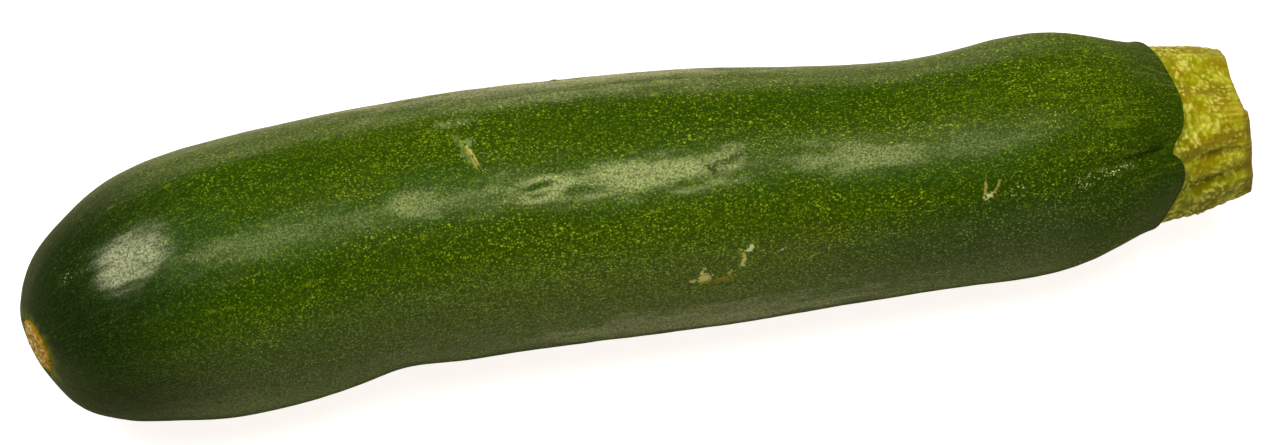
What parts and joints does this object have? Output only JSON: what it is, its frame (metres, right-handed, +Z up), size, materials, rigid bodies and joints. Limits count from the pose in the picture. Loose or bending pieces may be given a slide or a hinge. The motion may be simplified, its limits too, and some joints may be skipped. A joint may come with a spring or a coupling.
{
  "type": "courgette",
  "caption": "Whole dark green courgette lying on its side, with a blossom scar at one end and a cut ridged stem standing between the lobes of its shoulder at the other.",
  "frame": {"origin": "on the surface the courgette lies on, under the middle of its bounding box", "axes": "+X along the fruit from the blossom end to the cut of the stem, +Z up from the surface it lies on, +Y towards the outer side of its bow"},
  "size_m": [0.2087, 0.0481, 0.0454],
  "materials": {
    "skin": "waxy dark green skin with fine pale green specks in rows, faint lighter bands and a satin gloss; a tan corky scar at the blossom end",
    "stem": "yellow-green warty stem with pale ridges, and a dry fibrous cut face"
  },
  "bodies": {
    "root": {"fruit": "skin", "stem": "stem"}
  },
  "joints": []
}
